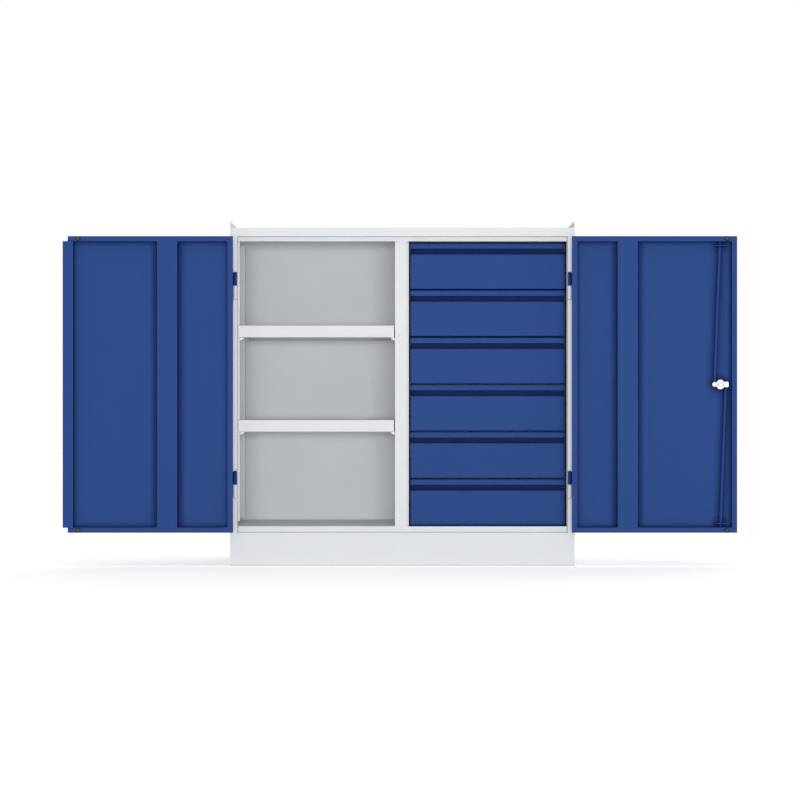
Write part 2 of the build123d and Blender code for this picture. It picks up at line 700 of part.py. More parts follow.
def lock_cam():
    """Eight-sided hub on the square shaft, with an arm on each side for a rod."""
    place = Pos(LOCK_X, LOCK_HEIGHT)
    hub = Rectangle(CAM_HUB_WIDTH, CAM_HUB_HEIGHT)
    hub = chamfer(hub.vertices(), CAM_HUB_CHAMFER)
    cam = along_y(place * hub, ARM_FRONT, BARREL_END - CAM_GAP)
    arms = Rectangle(2 * CAM_ARM + CAM_ARM_WIDTH, CAM_ARM_WIDTH)
    arms = chamfer(arms.vertices(), CAM_ARM_WIDTH / 4)
    cam += along_y(place * arms, ARM_FRONT, ARM_BACK)
    cam -= square_bar(ARM_FRONT, BARREL_END)
    for side in (-1, 1):
        hole = ROD_STUB + 2 * ROD_STUB_PLAY
        cam -= disc(LOCK_X + side * CAM_ARM, LOCK_HEIGHT, hole, ARM_FRONT, ARM_BACK)
    return cam


def lock_rod(side, end):
    """Locking rod from a cam arm to the door's top or bottom, with a stub bent into the arm."""
    length = abs(end - LOCK_HEIGHT)
    tilt = degrees(atan2(CAM_ARM, length))
    up = 1 if end > LOCK_HEIGHT else -1
    pivot = Pos(LOCK_X + side * CAM_ARM, ROD_Y, LOCK_HEIGHT)
    radius = ROD_DIAMETER / 2
    rod = Cylinder(radius, length + radius, align=(Align.CENTER, Align.CENTER, Align.MIN))
    rod = Pos(0, 0, -radius) * rod
    rod = Rot(0, tilt, 0) * rod if up > 0 else Rot(180, 0, 0) * Rot(0, -tilt, 0) * rod
    stub = disc(LOCK_X + side * CAM_ARM, LOCK_HEIGHT, ROD_STUB, CLIP_FRONT, ROD_Y)
    return pivot * rod + stub


def rod_clip(side, section):
    """Clip pressed on the rod's stub in front of the cam arm."""
    x = LOCK_X + side * CAM_ARM
    clip = along_y(Pos(x, LOCK_HEIGHT) * section, CLIP_FRONT, CLIP_BACK)
    return clip - disc(x, LOCK_HEIGHT, ROD_STUB, CLIP_FRONT, CLIP_BACK)


def rod_guide(edge, inward):
    """Slotted bracket that keeps a rod in line with its slot in the door's edge."""
    level = edge + inward * GUIDE_INSET
    points = [
        (DOOR_SKIN, level + inward * GUIDE_FOOT),
        (DOOR_SKIN, level),
        (DOOR_INSIDE + 2 * SHEET, level),
    ]
    section = folded(points, GUIDE_SHEET, Side.LEFT if inward < 0 else Side.RIGHT)
    guide = along_x(section, LOCK_X - GUIDE_WIDTH / 2, LOCK_X + GUIDE_WIDTH / 2)
    slot = Pos(LOCK_X, ROD_Y) * Rectangle(ROD_SLOT_WIDTH, ROD_SLOT_DEPTH)
    return guide - along_z(slot, level, level + inward * GUIDE_SHEET)


def door_handle():
    """Rotary grip: an eight-sided hub with a tapered wing across it, bored for the lock plug."""
    hub = chamfer(Rectangle(HANDLE_HUB, HANDLE_HUB).vertices(), HANDLE_HUB / 4)
    hub = along_y(Pos(LOCK_X, LOCK_HEIGHT) * hub, HANDLE_BACK, GRIP_BACK)
    outline = chamfer(Rectangle(GRIP_LENGTH, GRIP_WIDTH).vertices(), GRIP_CORNER)
    grip = along_y(Pos(LOCK_X, LOCK_HEIGHT) * outline, GRIP_BACK, GRIP_FACE)
    for inward, down in ((GRIP_DRAFT, GRIP_HEIGHT - GRIP_FOOT), (GRIP_EDGE, GRIP_EDGE)):
        face = grip.faces().sort_by(Axis.Y)[-1]
        grip = chamfer(face.edges(), inward, down, reference=face)
    bore = disc(LOCK_X, LOCK_HEIGHT, PLUG_DIAMETER + 2 * PIN_PLAY, GRIP_FACE - PLUG_DEPTH, GRIP_FACE)
    return hub + grip - square_bar(HANDLE_BACK, SPINDLE_END) - bore


def lock_plug():
    """Cylinder plug with a keyway, turned by the key inside the grip."""
    face = GRIP_FACE + PLUG_PROUD
    plug = disc(LOCK_X, LOCK_HEIGHT, PLUG_DIAMETER, GRIP_FACE - PLUG_DEPTH, face)
    width, height, depth = KEYWAY
    keyway = Pos(LOCK_X, LOCK_HEIGHT) * Rectangle(width, height)
    return plug - along_y(keyway, face - depth, face)


# ---- Assembly ----
def carcass_nodes():
    left = side_wall_left()
    hinges = [(side, split) for side in (-1, 1) for split in HINGE_HEIGHTS]
    members = [cabinet_member(s, n) for n in range(DRAWER_COUNT) for s in (-1, 1)]
    return {
        "side_wall_left": left,
        "side_wall_right": mirrored(left),
        "top_tray": top_tray(),
        "plinth_frame": plinth_frame(),
        "floor_panel": floor_panel(),
        "back_panel": back_panel(),
        "centre_partition": centre_partition(),
        "shelf_uprights": shelf_uprights(),
        "shelf_lower": shelf(SHELF_HEIGHTS[0]),
        "shelf_upper": shelf(SHELF_HEIGHTS[1]),
        "shelf_clips": shelf_clips(),
        "drawer_carriers": drawer_carriers(),
        "cabinet_runners": members,
        "frame_hinge_barrels": [frame_knuckle(*hinge) for hinge in hinges],
        "hinge_pins": [hinge_pin(*hinge) for hinge in hinges],
    }


def door_nodes():
    nodes = {
        "door_left_pan": door_pan(-1),
        "door_left_stop_strip": door_stop_strip(),
        "door_right_pan": right_door_pan(),
    }
    for side, name in ((-1, "door_left"), (1, "door_right")):
        nodes[name + "_stiffener"] = door_stiffener(side)
        nodes[name + "_buffers"] = door_buffers(side)
        nodes[name + "_hinge_barrels"] = [door_knuckle(side, split) for split in HINGE_HEIGHTS]
    return nodes


def lock_nodes():
    plate = chamfer(Rectangle(*CLIP_PLATE).vertices(), CLIP_CORNER / 2)
    return {
        "lock_housing": lock_housing(),
        "lock_nut": lock_nut(),
        "rod_guides": [rod_guide(DOOR_TOP, -1), rod_guide(DOOR_BOTTOM, 1)],
        "lock_spindle": lock_spindle(),
        "lock_cam": lock_cam(),
        "cam_screw": cam_screw(),
        "door_handle": door_handle(),
        "lock_plug": lock_plug(),
        "rod_upper": lock_rod(-1, ROD_TOP),
        "rod_lower": lock_rod(1, ROD_BOTTOM),
        "rod_upper_clip": rod_clip(-1, RegularPolygon(CLIP_DIAMETER / 2, MOULDED_SIDES)),
        "rod_lower_clip": rod_clip(1, plate),
    }


def drawer_nodes(number):
    """Drawer 1 is the top one."""
    name = f"drawer_{DRAWER_COUNT - number}"
    return {
        name + "_tray": drawer_tray(number),
        name + "_front": drawer_front(number),
        name + "_runners": [drawer_member(side, number) for side in (-1, 1)],
        name + "_intermediates": [intermediate_member(side, number) for side in (-1, 1)],
    }


def cabinet():
    nodes = {**carcass_nodes(), **door_nodes(), **lock_nodes()}
    for number in range(DRAWER_COUNT):
        nodes.update(drawer_nodes(number))
    return nodes


os.makedirs("parts", exist_ok=True)
for node, shape in cabinet().items():
    pieces = shape if isinstance(shape, list) else [shape]
    solids = [solid for piece in pieces for solid in piece.solids()]
    export_step(Compound(children=solids), f"parts/{node}.step")
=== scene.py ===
import json
import math

import bmesh
import bpy
from mathutils import Matrix, Vector


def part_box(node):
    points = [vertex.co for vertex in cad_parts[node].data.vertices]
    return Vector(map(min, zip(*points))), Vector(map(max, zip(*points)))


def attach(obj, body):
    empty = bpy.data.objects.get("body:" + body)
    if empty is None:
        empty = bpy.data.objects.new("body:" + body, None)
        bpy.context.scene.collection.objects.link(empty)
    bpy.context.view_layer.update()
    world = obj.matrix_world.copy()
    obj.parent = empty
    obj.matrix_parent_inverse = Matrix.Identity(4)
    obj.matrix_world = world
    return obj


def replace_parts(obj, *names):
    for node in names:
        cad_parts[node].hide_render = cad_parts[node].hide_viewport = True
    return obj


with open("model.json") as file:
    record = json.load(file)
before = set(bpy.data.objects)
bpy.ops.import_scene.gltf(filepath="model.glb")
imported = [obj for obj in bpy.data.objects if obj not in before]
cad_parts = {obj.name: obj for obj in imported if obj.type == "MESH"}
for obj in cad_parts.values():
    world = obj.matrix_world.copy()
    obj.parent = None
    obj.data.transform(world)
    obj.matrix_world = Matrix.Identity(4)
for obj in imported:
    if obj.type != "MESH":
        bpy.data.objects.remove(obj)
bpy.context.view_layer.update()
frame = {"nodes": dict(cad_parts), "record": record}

# Metres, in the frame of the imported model: X right, Y back, Z up, origin on the floor.
MM = 0.001

# ---- Hinges: a barrel on each half, with a foot on the frame's and a leaf on the door's ----
PIN_DEPTH = 28.0 * MM
BARREL_RADIUS = 5.5 * MM
BARREL_LENGTH = 40.0 * MM
BARREL_GAP = 0.15 * MM
BARREL_EDGE = 0.4 * MM
BARREL_DOME = 3.0 * MM
FOOT_WIDTH = 8.0 * MM
FOOT_INSET = 2.5 * MM
LEAF_STEP = 0.5 * MM
LEAF_TOP = 3.0 * MM
LEAF_REACH = 12.0 * MM
LEAF_EDGE = 0.3 * MM

# ---- Door buffers, in shares of the rubber's radius and height; a pair is (radius, height) ----
BUFFER_SIDE = 1 / 3
BUFFER_SHOULDER = (0.9, 0.8)
BUFFER_RIM = 0.7
BUFFER_RECESS_RIM = 0.34
BUFFER_RECESS = (0.3, 0.7)
BUFFER_RIVET_RADIUS = 0.26
BUFFER_RIVET_START = 0.65
BUFFER_RIVET_RISE = 0.2

# ---- Caps on the locking rods ----
CAP_CROWN = 1.0 * MM
CAP_CORNER = 4.5 * MM

# ---- Handle and rosette ----
MOULD_EDGE = 0.6 * MM
GRIP_WIDTH = 22.0 * MM
GRIP_HEIGHT = 20.0 * MM
GRIP_FOOT = 5.0 * MM
GRIP_DRAFT = 1.4 * MM
GRIP_EDGE = 3.0 * MM
GRIP_CORNER = 8.0 * MM
PLUG_GAP = 0.05 * MM
ROSETTE_EDGE = 2.5 * MM
HOUSING_BORE_RADIUS = 6.05 * MM
HOUSING_BARREL_RADIUS = 9.0 * MM
WELD = 0.01 * MM  # points closer than this are one

# ---- Drawers: middle members of the slides, their ball cages, rivets in the trays ----
DRAWER_COUNT = 6
SLIDE_DEPTH = 7.8 * MM
SLIDE_SHEET = 1.2 * MM
SLIDE_EDGE = 0.3 * MM
BALL_SPACE = 1.9 * MM
BALL_ROW = 0.94 * BALL_SPACE
BALL_RADIUS = 0.93 * BALL_SPACE
FLANGE_INSET = 1.9 * BALL_SPACE
CAGE_INSET = 12.0 * MM
CAGE_LENGTH = 120.0 * MM
CAGE_WIDTH = 4.6 * MM
CAGE_SHEET = 0.6 * MM
CAGE_EDGE = CAGE_SHEET / 4
CAGE_BALLS = 8
TRAY_SHEET = 1.0 * MM
RIVET_RADIUS = 4.0 * MM
RIVET_RISE = 1.4 * MM
RIVET_RIM = RIVET_RISE / 4
RIVET_PLACES = (0.08, 0.5, 0.92)

# ---- Fineness of the round shapes; folds sharper than an angle in degrees stay sharp ----
CORNER_STEPS = 6
EDGE_STEPS = 4
SMOOTH_ANGLE = 40
MOULDED_SMOOTH_ANGLE = 30
CAGE_SMOOTH_ANGLE = 60

# ---- The photograph's viewpoint; rows of pixels count down from the picture's top ----
FRAME_PIXELS = 800
SENSOR_WIDTH = 36.0  # in millimetres, as Blender counts it
PIXELS_PER_METRE = 344.5
VIEW_DISTANCE = 8.45
VIEW_X = -0.007
HORIZON_ROW = 400
FLOOR_ROW = 565.7
LEVEL = (math.pi / 2, 0, 0)  # turns a camera or lamp from straight down to level, facing back

# ---- Light; a strength of 1 lights a white face that looks at it to full white ----
WORLD_LIGHT = 0.52
KEY_LIGHT = 0.35
KEY_PLACE = (0.2, -11.5, 0.62)
KEY_SIZE = (3.4, 1.0)
TOP_LIGHT = 0.16
TOP_DIRECTION = (0.10, -0.15, 1.0)
TOP_SPREAD = 60
REAR_LIGHT = 0.25
REAR_DIRECTION = (0.3, 1.0, 0.5)
REAR_SPREAD = 60
FLOOR_SIZE = 60.0
FLOOR_PAINT = (0.85, 0.85, 0.85)
FLOOR_GLOW = 0.40

# ---- Colours, linear; a painted shade is a darker colour painted into folds, recesses and gaps where shade falls, and its reach is how far that painted shade goes ----
GREY = (0.770, 0.788, 0.804)
# painted shade for the grey paint in folds and corners
GREY_PAINTED_SHADE = (0.50, 0.51, 0.54)
GREY_REACH = 5.0 * MM
BLUE = (0.0245, 0.070, 0.256)
# painted shade for the blue paint in folds, panel recesses and grips
BLUE_PAINTED_SHADE = (0.0, 0.006, 0.075)
BLUE_REACH = 24.0 * MM
ZINC = (0.52, 0.53, 0.54)
# painted shade for zinc in folds and gaps
ZINC_PAINTED_SHADE = (0.03, 0.03, 0.035)
ZINC_REACH = 20.0 * MM
CLIP_ZINC = (0.38, 0.385, 0.39)
CLIP_REACH = 1.0 * MM
NYLON = (0.90, 0.91, 0.92)
# painted shade for white nylon in the gaps between parts
NYLON_PAINTED_SHADE = (0.30, 0.32, 0.36)
RUBBER = (0.012, 0.012, 0.013)
BLACK_NYLON = (0.016, 0.016, 0.018)
# painted shade for rubber and black nylon in folds
BLACK_PAINTED_SHADE = (0.004, 0.004, 0.005)
MOULDED_REACH = 3.0 * MM
CHROME = (0.76, 0.77, 0.79)

# ---- Surface textures; peel and grain are heights in metres ----
TEXTURE_RANGE = (0.3, 0.7)
# occlusion values mapped onto the painted shade in folds, and the samples taken for it
PAINTED_SHADE_RANGE = (0.58, 0.95)
PAINTED_SHADE_SAMPLES = 5
PAINT_GLOSS_DRIFT = 0.03
MOULDED_GLOSS_DRIFT = 0.05
ZINC_ROUGHNESS = (0.44, 0.58)
CHROME_ROUGHNESS = (0.06, 0.14)
PAINT_PEEL = 25e-6
ZINC_GRAIN = 8e-6
NYLON_GRAIN = 6e-6
RUBBER_GRAIN = 14e-6
BLACK_NYLON_GRAIN = 12e-6


# ---- Node helpers ----
def new_material(name):
    """An empty node material with its Principled shader joined to the output."""
    material = bpy.data.materials.new(name)
    material.use_nodes = True
    tree = material.node_tree
    tree.nodes.clear()
    output = tree.nodes.new("ShaderNodeOutputMaterial")
    shader = tree.nodes.new("ShaderNodeBsdfPrincipled")
    tree.links.new(shader.outputs["BSDF"], output.inputs["Surface"])
    return material, tree, shader


def noise(tree, scale, detail, stretch=(1, 1, 1)):
    """Noise over the object's own coordinates; scale counts features per metre."""
    place = tree.nodes.new("ShaderNodeTexCoord")
    mapping = tree.nodes.new("ShaderNodeMapping")
    mapping.inputs["Scale"].default_value = stretch
    texture = tree.nodes.new("ShaderNodeTexNoise")
    texture.inputs["Scale"].default_value = scale
    texture.inputs["Detail"].default_value = detail
    tree.links.new(place.outputs["Object"], mapping.inputs["Vector"])
    tree.links.new(mapping.outputs["Vector"], texture.inputs["Vector"])
    return texture.outputs["Fac"]


def spread(tree, value, low, high, source=TEXTURE_RANGE):
    """Map a source range, by default a texture's middle, on to a range of values."""
    node = tree.nodes.new("ShaderNodeMapRange")
    node.inputs["From Min"].default_value, node.inputs["From Max"].default_value = source
    node.inputs["To Min"].default_value, node.inputs["To Max"].default_value = low, high
    tree.links.new(value, node.inputs["Value"])
    return node.outputs["Result"]


def tones(tree, value, colour, contrast):
    """A colour that wanders by a small share either way."""
    ramp = tree.nodes.new("ShaderNodeValToRGB")
    shares = (1 - contrast, 1 + contrast)
    for element, share, position in zip(ramp.color_ramp.elements, shares, TEXTURE_RANGE):
        element.color = (*[min(1.0, channel * share) for channel in colour], 1)
        element.position = position
    tree.links.new(value, ramp.inputs["Fac"])
    return ramp.outputs["Color"]


def bump(tree, shader, value, height, strength):
    """Raise the surface by a texture; height is in metres."""
    node = tree.nodes.new("ShaderNodeBump")
    node.inputs["Distance"].default_value = height
    node.inputs["Strength"].default_value = strength
    tree.links.new(value, node.inputs["Height"])
    tree.links.new(node.outputs["Normal"], shader.inputs["Normal"])


def openness(tree, reach):
    """1 on open surfaces, falling to 0 where other surfaces stand within reach; this sets how much
    painted shade a fold gets.
    """
    near = tree.nodes.new("ShaderNodeAmbientOcclusion")
    near.samples = PAINTED_SHADE_SAMPLES
    near.inputs["Distance"].default_value = reach
    return spread(tree, near.outputs["AO"], 0.0, 1.0, source=PAINTED_SHADE_RANGE)


def colour_with_painted_shade(tree, shader, tone, shade_colour, reach):
    """Colour the surface in its tone, going over to a painted shade colour in folds, where shade falls.
    """
    open_share = openness(tree, reach)
    mix = tree.nodes.new("ShaderNodeMix")
    mix.data_type = "RGBA"
    painted_shade_socket, plain = [socket for socket in mix.inputs if socket.type == "RGBA"]
    painted_shade_socket.default_value = (*shade_colour, 1)
    tree.links.new(open_share, mix.inputs["Factor"])
    tree.links.new(tone, plain)
    mixed = next(socket for socket in mix.outputs if socket.type == "RGBA")
    tree.links.new(mixed, shader.inputs["Base Color"])


# ---- Materials ----
def powder_coat(name, colour, shade_colour, reach, roughness, specular):
    """Baked powder paint: orange peel, a little wandering gloss and tone, with painted shade deepening
    its colour in folds.
    """
    material, tree, shader = new_material(name)
    tone = tones(tree, noise(tree, scale=7, detail=3), colour, contrast=0.012)
    colour_with_painted_shade(tree, shader, tone, shade_colour, reach)
    shader.inputs["Specular IOR Level"].default_value = specular
    low, high = roughness - PAINT_GLOSS_DRIFT, roughness + PAINT_GLOSS_DRIFT
    gloss = spread(tree, noise(tree, scale=45, detail=4), low, high)
    tree.links.new(gloss, shader.inputs["Roughness"])
    bump(tree, shader, noise(tree, scale=650, detail=2), PAINT_PEEL, strength=0.5)
    return material


def zinc(name, colour, reach):
    """Bright zinc plate with a faint rolling grain, and painted shade darkening it in folds."""
    material, tree, shader = new_material(name)
    shader.inputs["Metallic"].default_value = 1.0
    rolling = noise(tree, scale=90, detail=4, stretch=(6, 0.4, 6))
    tone = tones(tree, rolling, colour, contrast=0.06)
    colour_with_painted_shade(tree, shader, tone, ZINC_PAINTED_SHADE, reach)
    gloss = spread(tree, noise(tree, scale=160, detail=3), *ZINC_ROUGHNESS)
    tree.links.new(gloss, shader.inputs["Roughness"])
    bump(tree, shader, noise(tree, scale=900, detail=2), ZINC_GRAIN, strength=0.4)
    return material


def moulded(name, colour, shade_colour, grain, roughness):
    """Moulded plastic or rubber with a fine eroded texture, and painted shade darkening it in folds."""
    material, tree, shader = new_material(name)
    tone = tones(tree, noise(tree, scale=60, detail=3), colour, contrast=0.03)
    colour_with_painted_shade(tree, shader, tone, shade_colour, MOULDED_REACH)
    low, high = roughness - MOULDED_GLOSS_DRIFT, roughness + MOULDED_GLOSS_DRIFT
    gloss = spread(tree, noise(tree, scale=300, detail=3), low, high)
    tree.links.new(gloss, shader.inputs["Roughness"])
    bump(tree, shader, noise(tree, scale=2600, detail=2), grain, strength=0.6)
    return material


def chrome(name, colour):
    """Polished plating with hairline wear."""
    material, tree, shader = new_material(name)
    shader.inputs["Metallic"].default_value = 1.0
    hairlines = noise(tree, scale=500, detail=2, stretch=(1, 1, 12))
    tree.links.new(tones(tree, hairlines, colour, contrast=0.03), shader.inputs["Base Color"])
    tree.links.new(spread(tree, hairlines, *CHROME_ROUGHNESS), shader.inputs["Roughness"])
    return material


MATERIALS = {
    "grey_paint": powder_coat(
        "grey_powder_coat", GREY, GREY_PAINTED_SHADE, GREY_REACH, roughness=0.46, specular=0.30
    ),
    "blue_paint": powder_coat(
        "blue_powder_coat", BLUE, BLUE_PAINTED_SHADE, BLUE_REACH, roughness=0.44, specular=0.04
    ),
    "zinc_steel": zinc("bright_zinc", ZINC, ZINC_REACH),
    "white_plastic": moulded("white_nylon", NYLON, NYLON_PAINTED_SHADE, NYLON_GRAIN, roughness=0.38),
    "black_rubber": moulded("black_rubber", RUBBER, BLACK_PAINTED_SHADE, RUBBER_GRAIN, roughness=0.72),
    "black_plastic": moulded(
        "black_nylon", BLACK_NYLON, BLACK_PAINTED_SHADE, BLACK_NYLON_GRAIN, roughness=0.48
    ),
    "bright_chrome": chrome("polished_chrome", CHROME),
}


def finish_cad_nodes():
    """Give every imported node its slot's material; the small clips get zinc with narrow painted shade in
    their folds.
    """
    slots = {part["node"]: part["material_slot"] for part in frame["record"]["subparts"]}
    clip_zinc = zinc("polished_zinc", CLIP_ZINC, CLIP_REACH)
    for name, node in frame["nodes"].items():
        material = clip_zinc if name == "shelf_clips" else MATERIALS[slots[name]]
        if not node.material_slots:
            node.data.materials.append(material)
        for place in node.material_slots:
            place.material = material


# ---- Shapes ----
def put_in_order(mesh_data):
    """Sort the faces by their corners, as a bevel makes them in an order that varies by run."""
    mesh_data.verts.index_update()
    faces = sorted(mesh_data.faces, key=lambda face: sorted(vert.index for vert in face.verts))
    ranks = {face: rank for rank, face in enumerate(faces)}
    mesh_data.faces.sort(key=ranks.get)


def add_piece(name, mesh_data, body, slot, smooth_angle=SMOOTH_ANGLE):
    """An object from a bmesh, in its slot's material, riding on a body."""
    mesh = bpy.data.meshes.new(name)
    put_in_order(mesh_data)
    bmesh.ops.recalc_face_normals(mesh_data, faces=mesh_data.faces)
    mesh_data.to_mesh(mesh)
    mesh_data.free()
    mesh.materials.append(MATERIALS[slot])
    mesh.shade_smooth()
    mesh.set_sharp_from_angle(angle=math.radians(smooth_angle))
    piece = bpy.data.objects.new(name, mesh)
    bpy.context.scene.collection.objects.link(piece)
    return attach(piece, body)


def turned(mesh_data, profile, axis, place, segments=32):
    """Revolve a profile of (radius, height) about an axis through a place; radius 0 closes it."""
    turn = Vector((0, 0, 1)).rotation_difference(Vector(axis)).to_matrix().to_4x4()
    turn = Matrix.Translation(place) @ turn
    rings = []
    for radius, height in profile:
        if radius == 0:
            rings.append([mesh_data.verts.new(turn @ Vector((0, 0, height)))])
            continue
        angles = [2 * math.pi * step / segments for step in range(segments)]
        corners = [Vector((radius * math.cos(a), radius * math.sin(a), height)) for a in angles]
        rings.append([mesh_data.verts.new(turn @ corner) for corner in corners])
    for low, high in zip(rings, rings[1:]):
        for step in range(segments):
            after = (step + 1) % segments
            corners = [low[step % len(low)], low[after % len(low)]]
            corners += [high[after % len(high)], high[step % len(high)]]
            mesh_data.faces.new(list(dict.fromkeys(corners)))


def eased_slab(mesh_data, low, high, edge, segments=2):
    """A box between two corners with every edge rounded."""
    low, high = Vector(low), Vector(high)
    size = [abs(b - a) for a, b in zip(low, high)]
    place = Matrix.Translation((low + high) / 2) @ Matrix.Diagonal((*size, 1))
    box = bmesh.ops.create_cube(mesh_data, size=1, matrix=place)
    edges = list(dict.fromkeys(line for vert in box["verts"] for line in vert.link_edges))
    bmesh.ops.bevel(
        mesh_data, geom=edges, offset=edge, segments=segments, profile=0.5, affect="EDGES"
    )


def rounded_outline(low, high, corner):
    """Points round a rectangle in X and Z with round corners."""
    points = []
    middle_x, middle_z = (low.x + high.x) / 2, (low.z + high.z) / 2
    corners = ((high.x, high.z), (low.x, high.z), (low.x, low.z), (high.x, low.z))
    for turn, (x, z) in enumerate(corners):
        centre_x = x - math.copysign(corner, x - middle_x)
        centre_z = z - math.copysign(corner, z - middle_z)
        for step in range(CORNER_STEPS + 1):
            angle = math.pi / 2 * (turn + step / CORNER_STEPS)
            points.append((centre_x + corner * math.cos(angle), centre_z + corner * math.sin(angle)))
    return points


def stacked(mesh_data, low, high, corner, levels, bore=None):
    """A plate along Y with round corners; each level is (inset, y), a bore is (radius, depth)."""
    outlines = []
    for inset, y in levels:
        step = Vector((inset, 0, inset))
        outline = rounded_outline(low + step, high - step, max(corner - inset, corner / 3))
        outlines.append([(x, y, z) for x, z in outline])
    if bore:
        radius, depth = bore
        middle_x, middle_z = (low.x + high.x) / 2, (low.z + high.z) / 2
        angles = [math.atan2(z - middle_z, x - middle_x) for x, y, z in outlines[-1]]
        rim = [(middle_x + radius * math.cos(a), middle_z + radius * math.sin(a)) for a in angles]
        top = levels[-1][1]
        outlines += [[(x, y, z) for x, z in rim] for y in (top, top - depth)]
    rings = [[mesh_data.verts.new(point) for point in outline] for outline in outlines]
    for low_ring, high_ring in zip(rings, rings[1:]):
        for step in range(len(low_ring)):
            after = (step + 1) % len(low_ring)
            mesh_data.faces.new((low_ring[step], low_ring[after], high_ring[after], high_ring[step]))
    mesh_data.faces.new(rings[0])
    mesh_data.faces.new(rings[-1])


def quarter(inset, start, radius):
    """Levels of a rounded edge that starts at an inset and a place along Y."""
    angles = [math.pi / 2 * step / EDGE_STEPS for step in range(1, EDGE_STEPS + 1)]
    return [(inset + abs(radius) * (1 - math.cos(a)), start + radius * math.sin(a)) for a in angles]


def dome(radius, start, rise, steps=6):
    """Profile of a rounded end that closes at the axis."""
    angles = [math.pi / 2 * step / steps for step in range(steps + 1)]
    return [(radius * math.cos(a) if a < math.pi / 2 else 0, start + rise * math.sin(a)) for a in angles]


# ---- Pieces ----
def joint_place(name):
    """A point on a joint's axis, as the record gives it."""
    joints = frame["record"]["behaviour"]["joints"]
    return next(joint["pos_m"] for joint in joints if joint["name"] == name)


def hinge_splits():
    """Heights where the lower and the upper hinges part, from the ends of their pins."""
    low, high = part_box("hinge_pins")
    return low.z + PIN_DEPTH, high.z - PIN_DEPTH


def barrel(mesh_data, x, y, split, up):
    """One half of a hinge, from the split up or down to its domed end."""
    length = BARREL_LENGTH - BARREL_GAP - BARREL_DOME
    profile = [(0, 0), (BARREL_RADIUS - BARREL_EDGE, 0), (BARREL_RADIUS, BARREL_EDGE)]
    profile += dome(BARREL_RADIUS, length, BARREL_DOME)
    turned(mesh_data, profile, (0, 0, up), (x, y, split + up * BARREL_GAP))


def barrel_foot(mesh_data, x, y, split):
    """Foot that joins the lower half to the frame's front."""
    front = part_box("side_wall_left")[0].y
    low, high = split - BARREL_LENGTH + FOOT_INSET, split - FOOT_INSET
    near, far = (x - FOOT_WIDTH / 2, y, low), (x + FOOT_WIDTH / 2, front, high)
    eased_slab(mesh_data, near, far, BARREL_EDGE)


def barrel_leaf(mesh_data, x, side, split):
    """Neck and leaf that join the upper half to the door's outside."""
    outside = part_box("door_left_pan")[1].y
    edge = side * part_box("door_right_pan")[0].x
    low, high = split + FOOT_INSET, split + BARREL_LENGTH - FOOT_INSET
    root = (edge + side * LEAF_STEP, outside + LEAF_TOP, high)
    tip = (edge + side * LEAF_REACH, outside + LEAF_TOP, high)
    eased_slab(mesh_data, (x, outside + LEAF_STEP, low), root, LEAF_EDGE)
    eased_slab(mesh_data, (edge, outside, low), tip, LEAF_EDGE)


def hinge_barrels():
    """Weld-on lift-off hinges: each half is a barrel with a domed end."""
    axis_x, axis_y = joint_place("door_left_hinge")[:2]
    frame_half = bmesh.new()
    for side, body in ((-1, "door_left"), (1, "door_right")):
        x = side * abs(axis_x)
        door_half = bmesh.new()
        for split in hinge_splits():
            barrel(frame_half, x, axis_y, split, -1)
            barrel(door_half, x, axis_y, split, 1)
            barrel_foot(frame_half, x, axis_y, split)
            barrel_leaf(door_half, x, side, split)
        barrels = add_piece(body + "_domed_barrels", door_half, body, "blue_paint")
        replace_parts(barrels, body + "_hinge_barrels")
    barrels = add_piece("frame_domed_barrels", frame_half, "cabinet", "grey_paint")
    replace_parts(barrels, "frame_hinge_barrels")


def buffers():
    """Domed rubber buffers, each on a small rivet."""
    for body in ("door_left", "door_right"):
        low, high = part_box(body + "_buffers")
        radius, x = (high.x - low.x) / 2, (low.x + high.x) / 2
        height = high.y - low.y
        profile = [(0, 0), (radius, 0), (radius, height * BUFFER_SIDE)]
        profile += [(radius * BUFFER_SHOULDER[0], height * BUFFER_SHOULDER[1])]
        profile += [(radius * BUFFER_RIM, height), (radius * BUFFER_RECESS_RIM, height)]
        recess = height * BUFFER_RECESS[1]
        profile += [(radius * BUFFER_RECESS[0], recess), (0, recess)]
        rivet_radius, rivet_start = radius * BUFFER_RIVET_RADIUS, height * BUFFER_RIVET_START
        rivet_profile = [(0, rivet_start), (rivet_radius, rivet_start)]
        rivet_profile += dome(rivet_radius, recess, height * BUFFER_RIVET_RISE, steps=3)
        rubber, rivets = bmesh.new(), bmesh.new()
        for z in (low.z + radius, high.z - radius):
            turned(rubber, profile, (0, -1, 0), (x, high.y, z))
            turned(rivets, rivet_profile, (0, -1, 0), (x, high.y, z), segments=16)
        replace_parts(add_piece(body + "_domed_buffers", rubber, body, "black_rubber"), body + "_buffers")
        add_piece(body + "_buffer_rivets", rivets, body, "zinc_steel")


def rod_caps():
    """Moulded caps that cover the ends of the rods' stubs: one round, one squarish."""
    low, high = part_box("rod_upper_clip")
    middle, radius = (low + high) / 2, (high.z - low.z) / 2
    cap = bmesh.new()
    profile = [(0, 0), (radius, 0)] + dome(radius, high.y - low.y, CAP_CROWN)
    turned(cap, profile, (0, -1, 0), (middle.x, high.y, middle.z))
    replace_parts(add_piece("rod_upper_cap", cap, "rod_upper", "white_plastic"), "rod_upper_clip")
    low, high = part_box("rod_lower_clip")
    cap = bmesh.new()
    levels = [(0, high.y), (0, low.y)] + quarter(0, low.y, -CAP_CROWN)
    stacked(cap, low, high, CAP_CORNER, levels)
    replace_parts(add_piece("rod_lower_cap", cap, "rod_lower", "white_plastic"), "rod_lower_clip")


